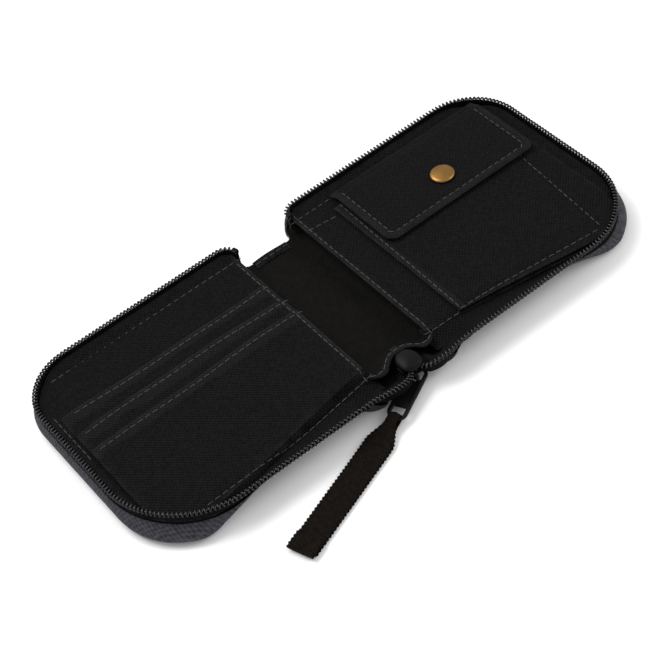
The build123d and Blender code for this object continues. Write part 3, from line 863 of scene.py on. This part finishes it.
def nearRiser(side, body, prefix):
    clothRows, hemRows, line = [], [], []
    count = riserForm["steps"]
    for foot, edge in zip(curveThrough(riserForm["foot"], 5), curveThrough(riserForm["edge"], 5)):
        row = []
        for k in range(count + 1):
            v = riserPoint(foot, edge, k / count)
            row.append((side * v.x, v.y, v.z + waviness(v.x, v.y, 5.0, 0.3 * k / count, 60.0)))
        clothRows.append(withUnderside(row, riserForm["cloth"], 0.1))
        band = [riserPoint(foot, edge, mix(1 - riserForm["hem"], 1.0, k / 4)) for k in range(5)]
        outer = [(side * v.x, v.y + lift * 0.6, v.z + lift) for v, lift in zip(band, riserForm["hemLifts"])]
        fold = (side * band[-1].x, band[-1].y - 0.25, band[-1].z + 0.1)
        inner = [(side * v.x, v.y - 0.3, v.z - 0.4) for v in reversed(band)]
        hemRows.append(outer + [fold] + inner)
        line.append(Vector((side * band[2].x, band[2].y + 0.25, band[2].z + 0.42)))
    cloth, hem, stitches = solid(clothRows), solid(hemRows), bmesh.new()
    # The whole hem is lightened: partly rubbed wear, partly a painted highlight.
    wear_and_highlight = hem.verts.layers.float.new("wear_and_highlight")
    for v in hem.verts:
        v[wear_and_highlight] = riserForm["hemWearAndHighlight"]
    up = Vector(riserForm["threadUp"])
    angles = turnAngles(6)
    for p, along in resample(line, riserForm["pitch"]):
        across = along.cross(up).normalized()
        rows = []
        for share, size in riserForm["thread"]:
            c, r = p + along * share * riserForm["halfLength"], riserForm["thick"]
            rows.append([c + (across * math.cos(a) + up * math.sin(a)) * r * size for a in angles])
        skin(stitches, rows)
    name = f"{prefix}_near_riser"
    for obj in (finishMesh(name, cloth, liningCloth, None, crisp=60),
                finishMesh(f"{name}_hem", hem, canvas, None, crisp=60),
                finishMesh(f"{name}_stitching", stitches, threadCloth, None)):
        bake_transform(obj)


for makePart in (nearMargin, nearCorner, nearRiser):
    for side, body, prefix in leaves:
        makePart(side, body, prefix)

cardStitches = bmesh.new()
pocketForms = []
for number in (1, 2, 3):
    low, high = nodeBox(f"card_pocket_{number}")
    openY = high.y
    start, end = panelLow.x + 0.7 - 0.2 * number, -low.x

    def lowEdge(x, shift=0.35 * number):
        return panelLowEdge(x) + shift

    def highEdge(x, y=openY, seed=number):
        return y + 0.5 * math.sin(x / 17.0 + seed * 2.1) + 0.25 * math.sin(x / 7.0 + seed)

    def middle(x, y, z=(low.z + high.z) / 2, seed=10.0 + number, openY=openY, start=start, end=end):
        level = z + waviness(x, y, 24.0, 0.22, seed)
        level -= pulledDown(x, y, [cardSeams["near"]], 0.25, 0.9)
        # The pocket's mouth stands open a little.
        level += 0.42 * smooth((y - openY + 6.0) / 6.0) * smooth((x - start) / 5.0) \
            * smooth((end - x) / 5.0)
        return level - 0.5 * smooth((panelLowEdge(x) + 4.0 - y) / 6.0)

    def half(x, y, d, openY=openY):
        hem = 0.16 * smooth((y - openY + 4.8) / 0.7)
        return max(0.03, (0.21 + hem) * rolledOff(d, 0.35))

    form = {"side": -1, "left": start, "right": end, "depth": openY + 38.0, "lowY": lowEdge,
            "highY": highEdge, "middle": middle, "half": half,
            "hem": lambda x, y, openY=openY: float(y > openY - 4.6 or x < 14.6)}
    sewSheet(f"card_pocket_{number}_cloth", form, canvas, "card_leaf", f"card_pocket_{number}")
    pocketForms.append(form)
    addStitches(cardStitches, [(x, highEdge(x) - 1.9) for x in range(int(start) + 1, int(end) - 1, 2)],
                topOf(form), -1)


def covers(form, x, y):
    return form["left"] <= x <= form["right"] and form["lowY"](x) <= y <= form["highY"](x)


def cardTop(x, y):
    # The topmost cloth of the card leaf at a point.
    return max(topOf(form)(x, y) for form in [cardPanelForm] + [f for f in pocketForms if covers(f, x, y)])


for seam in cardSeams.values():
    addStitches(cardStitches, seam, cardTop, -1)
finishMesh("card_leaf_stitching", cardStitches, threadCloth, "card_leaf")
print("card pockets made")

coinStitches = bmesh.new()
coinLeft, coinRight = frontLow.x, frontHigh.x
coinSeam = {"outer": [(89.2, 33.0), (89.0, 5.0), (84.6, -41.0)], "spine": [(28.6, 33.0), (26.9, -33.6)]}


def pocketSheet(foot, top, seed, lift):
    z = (foot + top) / 2

    def middle(x, y):
        level = z + waviness(x, y, 30.0, 0.3, seed)
        level += lift * math.sin(math.pi * min(max((x - 30) / 58, 0), 1)) ** 0.5
        level -= pulledDown(x, y, [coinSeam["outer"], coinSeams["near"]], 0.35, 1.1)
        return level - 0.8 * smooth((x - 90.0) / 6.0) - 0.5 * smooth((panelLowEdge(x) + 4.0 - y) / 6.0)
    return middle


def bagSheet(foot, top, seed, lift, shift):
    return {"side": 1, "left": coinLeft + shift, "right": coinRight - shift, "depth": 68.0,
            "lowY": lambda x: panelLowEdge(x) + 0.4 + shift,
            "highY": lambda x: frontHigh.y, "middle": pocketSheet(foot, top, seed, lift),
            "half": hemmedHalf(top - foot + 0.1, coinLeft + 3.0),
            "hem": lambda x, y: float(x < coinLeft + 3.0)}


bagForm = bagSheet(bagLow.z, bagHigh.z - 0.1, 21.0, 0.0, 0.4)
frontForm = bagSheet(frontLow.z, frontHigh.z, 22.0, 0.25, 0.0)
sewSheet("coin_pocket_bag_cloth", bagForm, liningCloth, "coin_leaf", "coin_pocket_bag")
sewSheet("coin_pocket_front_cloth", frontForm, canvas, "coin_leaf", "coin_pocket_front")


def coinTop(x, y):
    return topOf(frontForm if covers(frontForm, x, y) else slipPanelForm)(x, y)


for seam in list(coinSeams.values()) + list(coinSeam.values()):
    addStitches(coinStitches, seam, coinTop, 1)
addStitches(coinStitches, [(14.6, 32.7), (26.0, 31.2)], coinTop, 1)
finishMesh("coin_leaf_stitching", coinStitches, threadCloth, "coin_leaf")

# The flap has stuffed edges, and its root runs down into the far seam.
hingeY = joints["coin_flap_open"]["pos_m"][1] / metre
capX, capY = (capLow.x + capHigh.x) / 2, (capLow.y + capHigh.y) / 2
flapEdge = cornered(lambda x: flapLow.y, flapLow.x, flapHigh.x, 4.0, -1)
flapSeam = 2.9


def flapHeight(base, seed):
    def middle(x, y):
        z = base + waviness(x, y, 28.0, 0.3, seed) - 1.9 * smooth((y - hingeY + 3.5) / 6.0)
        return z - 0.3 * math.exp(-((x - capX) ** 2 + (y - capY) ** 2) / 45.0)
    return middle


def flapHalf(x, y, d):
    body = 0.45 + 0.3 * math.exp(-((d - 1.4) / 1.1) ** 2)
    body -= 0.2 * math.exp(-((d - flapSeam) / 0.5) ** 2)
    return max(0.04, body * rolledOff(d, 1.1))


flapForm = {"side": 1, "left": flapLow.x, "right": flapHigh.x, "depth": 36.0, "step": 1.3, "lowY": flapEdge,
            "highY": lambda x: hingeY + 2.6, "middle": flapHeight(flapLow.z + 0.1, 31.0), "half": flapHalf,
            "hem": lambda x, y: float(min(x - flapLow.x, flapHigh.x - x, y - flapLow.y) < flapSeam)}
flapLiningForm = dict(flapForm, left=flapLow.x + 0.8, right=flapHigh.x - 0.8,
                      lowY=cornered(lambda x: flapLow.y + 0.8, flapLow.x + 0.8, flapHigh.x - 0.8, 3.4, -1),
                      highY=lambda x: hingeY + 1.2,
                      middle=flapHeight((flapLiningLow.z + flapLiningHigh.z) / 2 - 0.12, 31.0),
                      half=roundedHalf(0.3, 0.3))
for name, form, material, slotName, node in (
        ("coin_flap_cloth", flapForm, canvas, "canvas", "coin_flap"),
        ("coin_flap_lining_cloth", flapLiningForm, liningCloth, "lining_fabric", "coin_flap_lining")):
    obj = sewSheet(name, form, material, None, node)
    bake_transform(obj)
flapStitches = bmesh.new()
seamLeft, seamRight, seamLow = flapLow.x + flapSeam, flapHigh.x - flapSeam, flapLow.y + flapSeam
flapLine = [(seamLeft, hingeY - 2.5), (seamLeft, seamLow + 1.2), (seamLeft + 1.2, seamLow),
            (seamRight - 1.2, seamLow), (seamRight, seamLow + 1.2), (seamRight, hingeY - 2.5)]
addStitches(flapStitches, flapLine, topOf(flapForm), 1)
finishMesh("coin_flap_stitching", flapStitches, threadCloth, "coin_flap")
print("coin pocket and flap made")


# The cap's turned side: (radius less the cap's own, height above the flap).
capForm = {"segments": 48, "turned": [(-0.4, -0.1), (0, 0.15), (0.02, 0.4), (-0.12, 0.68), (-0.5, 0.9),
                                      (-1.2, 1.06), (-2.4, 1.2)]}


def spinCap():
    radius, foot, count = (capHigh.x - capLow.x) / 2, flapHigh.z, capForm["segments"]
    steps = [(0.001, foot - 0.6), (1.0, foot - 0.6), (1.0, foot)]
    steps += [(radius + wider, foot + lift) for wider, lift in capForm["turned"]]
    steps += [(1.0, capHigh.z - 0.03), (0.001, capHigh.z)]
    angles = turnAngles(count)
    bm = solid([[(capX + r * math.cos(a), capY + r * math.sin(a), z) for a in angles] for r, z in steps])
    finishMesh("snap_cap_spun", bm, brass, "coin_flap", ["snap_cap"], crisp=50)


spinCap()


def softened(node, name, material, body, width):
    # A piece that keeps its solid shape, with softened edges.
    bm = bmesh.new()
    bm.from_mesh(frame["nodes"][node].data)
    bmesh.ops.scale(bm, vec=(1 / metre,) * 3, verts=bm.verts)
    bmesh.ops.remove_doubles(bm, verts=bm.verts, dist=0.002)
    bmesh.ops.dissolve_limit(bm, angle_limit=math.radians(1.0), verts=bm.verts, edges=bm.edges)
    sharp = [e for e in bm.edges if len(e.link_faces) == 2 and e.calc_face_angle(0.0) > math.radians(28.0)]
    bmesh.ops.bevel(bm, geom=sharp, offset=width, segments=2, profile=0.5, affect="EDGES", material=-1,
                    clamp_overlap=True)
    return finishMesh(name, bm, material, body, [node], crisp=35)


def boxInto(bm, low, high, width):
    # A box with softened edges.
    made = bmesh.ops.create_cube(bm, size=1.0)["verts"]
    bmesh.ops.scale(bm, vec=[b - a for a, b in zip(low, high)], verts=made)
    bmesh.ops.translate(bm, vec=[(a + b) / 2 for a, b in zip(low, high)], verts=made)
    edges = list({e for v in made for e in v.link_edges})
    bmesh.ops.bevel(bm, geom=edges, offset=width, segments=2, profile=0.5, affect="EDGES", material=-1)


# Each loop of the crown and of the plate is (share of the slider's size, height). The powers give the
# plan its outline: the rear is round and the mouth is squarer.
sliderForm = {
    "crown": [(0.93, 8.5), (1.0, 8.62), (1.03, 9.0), (1.01, 9.4), (0.93, 9.85), (0.78, 10.22), (0.58, 10.5),
              (0.36, 10.66), (0.12, 10.72)],
    "plate": [(0.9, 5.5), (0.98, 5.58), (1.0, 5.8), (1.0, 6.25), (0.96, 6.45), (0.86, 6.5)],
    "rear": (0.85, 1.0), "mouth": (0.6, 0.6), "segments": 48,
    "flange": 0.75, "flangeY": (-1.8, 1.4), "flangeZ": ((6.3, 7.15), (7.85, 8.7)),
    "divider": 0.7, "dividerY": (0.5, 3.4), "dividerZ": (6.3, 8.7),
}


def makeSlider():
    # A crown and a lower plate, joined by the divider, with a flange at each side.
    halfX, halfY = (sliderHigh.x - sliderLow.x) / 2, (sliderHigh.y - sliderLow.y) / 2
    cy = (sliderLow.y + sliderHigh.y) / 2
    bm = bmesh.new()
    for loops in (sliderForm["crown"], sliderForm["plate"]):
        rows = []
        for size, z in loops:
            row = []
            for a in turnAngles(sliderForm["segments"]):
                c, d = math.cos(a), math.sin(a)
                powerX, powerY = sliderForm["rear" if d > 0 else "mouth"]
                x = math.copysign(abs(c) ** powerX, c) * halfX * size
                row.append((x, cy + math.copysign(abs(d) ** powerY, d) * halfY * size, z))
            rows.append(row)
        skin(bm, rows)
    nearY, farY = (cy + y for y in sliderForm["flangeY"])
    for sign in (-1, 1):
        inner, outer = sorted((sign * (halfX - sliderForm["flange"]), sign * halfX))
        for lowZ, highZ in sliderForm["flangeZ"]:
            boxInto(bm, (inner, nearY, lowZ), (outer, farY, highZ), 0.15)
    nearY, farY = (sliderLow.y + y for y in sliderForm["dividerY"])
    lowZ, highZ = sliderForm["dividerZ"]
    boxInto(bm, (-sliderForm["divider"], nearY, lowZ), (sliderForm["divider"], farY, highZ), 0.2)
    finishMesh("slider", bm, blackMetal, "slider", ["slider_body"], crisp=40)


makeSlider()
for side in ("card", "coin"):
    softened(f"{side}_leaf_zip_top_stop", f"{side}_top_stop", blackMetal, f"{side}_leaf", 0.3)
softened("zip_bottom_stop", "bottom_stop", blackMetal, "spine", 0.3)
softened("zip_chain_end", "chain_end", coilNylon, "spine", 0.3)
softened("slider_bail", "bail", blackMetal, "slider", 0.3)
softened("pull_tab", "tab", blackMetal, "pull_tab", 0.35)
for node, body in (("snap_post", "coin_leaf"), ("snap_stud", "coin_leaf"), ("snap_socket", "coin_flap")):
    softened(node, f"{node}_turned", brass, body, 0.1)


def binding(name, node, seed):
    low, high = nodeBox(node)

    def edge(sign):
        return lambda x: (low.y if sign < 0 else high.y) + 0.25 * math.sin(x / 3.0 + seed)
    form = {"side": 1, "left": low.x, "right": high.x, "depth": high.y - low.y, "step": 0.8, "margin": 1.5,
            "lowY": edge(-1), "highY": edge(1), "middle": lambda x, y: (low.z + high.z) / 2,
            "half": roundedHalf(0.7, 0.9), "hem": lambda x, y: 0.0}
    finishMesh(name, sheetMesh(form), canvas, "spine", [node], crisp=50)
    stitches = bmesh.new()
    y = (low.y + high.y) / 2
    addStitches(stitches, [(low.x + 1.5, y), (high.x - 1.0, y)], topOf(form), 1)
    finishMesh(f"{name}_stitching", stitches, threadCloth, "spine")


binding("near_binding", "spine_binding_near", 1.0)
binding("far_binding", "spine_binding_far", 2.0)

anchor = Vector(joints["strap_swing"]["pos_m"]) / metre
# The webbing's path is (distance from the tab's bar, height): from its folded end, round the bar and back
# beneath itself. Its section is in shares of its width and thickness.
strapForm = {
    "heading": math.radians(200.0), "width": 10.0, "neck": 4.0, "thick": 0.75, "sample": 0.3,
    "rib": 1.5, "ribDepth": 0.09, "scallop": 0.22, "buckle": 0.35,
    "path": [(50.6, 2.1), (54.5, 2.15), (56.3, 2.05), (56.9, 1.65), (56.2, 1.28), (54.0, 1.25),
             (46.0, 1.27), (34.0, 1.3), (22.0, 1.3), (13.0, 1.45), (8.0, 1.9), (4.0, 2.9),
             (1.4, anchor.z + 1.25),
             (0.0, anchor.z + 1.45), (-1.2, anchor.z + 0.95), (-1.6, anchor.z), (-1.1, anchor.z - 0.95),
             (0.2, anchor.z - 1.5), (3.0, 0.85), (7.0, 0.5), (13.0, 0.4), (34.0, 0.4), (55.6, 0.4)],
    "section": [(-1, 0), (-0.94, 0.75), (-0.8, 1), (-0.4, 0.92), (0, 1), (0.4, 0.92), (0.8, 1),
                (0.94, 0.75), (1, 0), (0.94, -0.75), (0.8, -1), (0, -1), (-0.8, -1), (-0.94, -0.75)],
}


def strapPoint(along, across, z):
    c, s = math.cos(strapForm["heading"]), math.sin(strapForm["heading"])
    return (anchor.x + along * c - across * s, anchor.y + along * s + across * c, z)


def makeStrap():
    line = curveThrough([(s, z, 0) for s, z in strapForm["path"]], 8)
    rows = []
    for i, (p, along) in enumerate(resample(line, strapForm["sample"])):
        s, z = p.x, p.y
        normal = Vector((-along.y, along.x))
        width = mix(strapForm["neck"], strapForm["width"], smooth((s - 1.5) / 9.0))
        phase = 2 * math.pi * i * strapForm["sample"] / strapForm["rib"]
        half = width / 2 + strapForm["scallop"] * math.sin(phase) * smooth(s / 8.0)
        thick = strapForm["thick"] / 2 + strapForm["ribDepth"] * math.sin(phase)
        gathered = strapForm["buckle"] * (1 - smooth((s - 2) / 9.0))  # there its middle buckles
        ring = []
        for u, v in strapForm["section"]:
            q = Vector((s, z)) + normal * (v * thick)
            lift = gathered * math.cos(u * math.pi * 1.5) * (1 if z > 1.1 else 0.3)
            ring.append(strapPoint(q.x, u * half, max(q.y + lift, 0.02)))
        rows.append(ring)
    obj = finishMesh("pull_webbing", solid(rows), webbingCloth, "pull_strap", ["pull_strap"],
                     crisp=60)


makeStrap()
print("pull made")

paper, paperTree, paperShader = startMaterial("matte_white_paper")
setInputs(paperTree, paperShader, {"Base Color": hexColour("#f4f4f4"), "Roughness": 0.9})
bm = bmesh.new()
bmesh.ops.create_grid(bm, x_segments=1, y_segments=1, size=3000)
bmesh.ops.translate(bm, verts=bm.verts, vec=(0, 0, -0.02))
finishMesh("paper_floor", bm, paper)

world = bpy.data.worlds.new("studio")
bpy.context.scene.world = world
world.use_nodes = True
setInputs(world.node_tree, world.node_tree.nodes["Background"], {"Color": (1, 1, 1, 1), "Strength": 0.75})


def softBox(name, location, target, size, watts):
    data = bpy.data.lights.new(name, "AREA")
    data.shape = "RECTANGLE"
    data.size, data.size_y = size
    data.energy = watts
    light = bpy.data.objects.new(name, data)
    bpy.context.scene.collection.objects.link(light)
    light.location = location
    light.rotation_euler = (Vector(target) - Vector(location)).to_track_quat("-Z", "Y").to_euler()


softBox("key_softbox", (-0.25, 0.45, 0.75), (0, 0, 0), (0.6, 0.4), 6.0)
softBox("fill_softbox", (0.6, -0.35, 0.6), (0, 0, 0), (0.5, 0.5), 2.5)

camera = {"azimuth": 27.06, "elevation": 47.12, "roll": -13.95, "distance": 614.46,
          "target": (-8.27, -4.43, 5.0), "lens": 100.7}
az, el, roll = (math.radians(camera[k]) for k in ("azimuth", "elevation", "roll"))
back = Vector((-math.sin(az) * math.cos(el), -math.cos(az) * math.cos(el), math.sin(el)))
right = (-back).cross(Vector((0, 0, 1))).normalized()
up = right.cross(-back)
viewRight = right * math.cos(roll) + up * math.sin(roll)
viewUp = up * math.cos(roll) - right * math.sin(roll)
cameraData = bpy.data.cameras.new("studio_camera")
cameraData.lens = camera["lens"]
cameraData.sensor_width = 36.0
cameraData.clip_start = 0.01
cameraData.clip_end = 20.0
cameraObject = bpy.data.objects.new("studio_camera", cameraData)
bpy.context.scene.collection.objects.link(cameraObject)
turn = Matrix((viewRight, viewUp, back)).transposed().to_4x4()
position = (Vector(camera["target"]) + back * camera["distance"]) * metre
cameraObject.matrix_world = Matrix.Translation(position) @ turn
bpy.context.scene.camera = cameraObject
bpy.context.scene.view_settings.view_transform = "Standard"
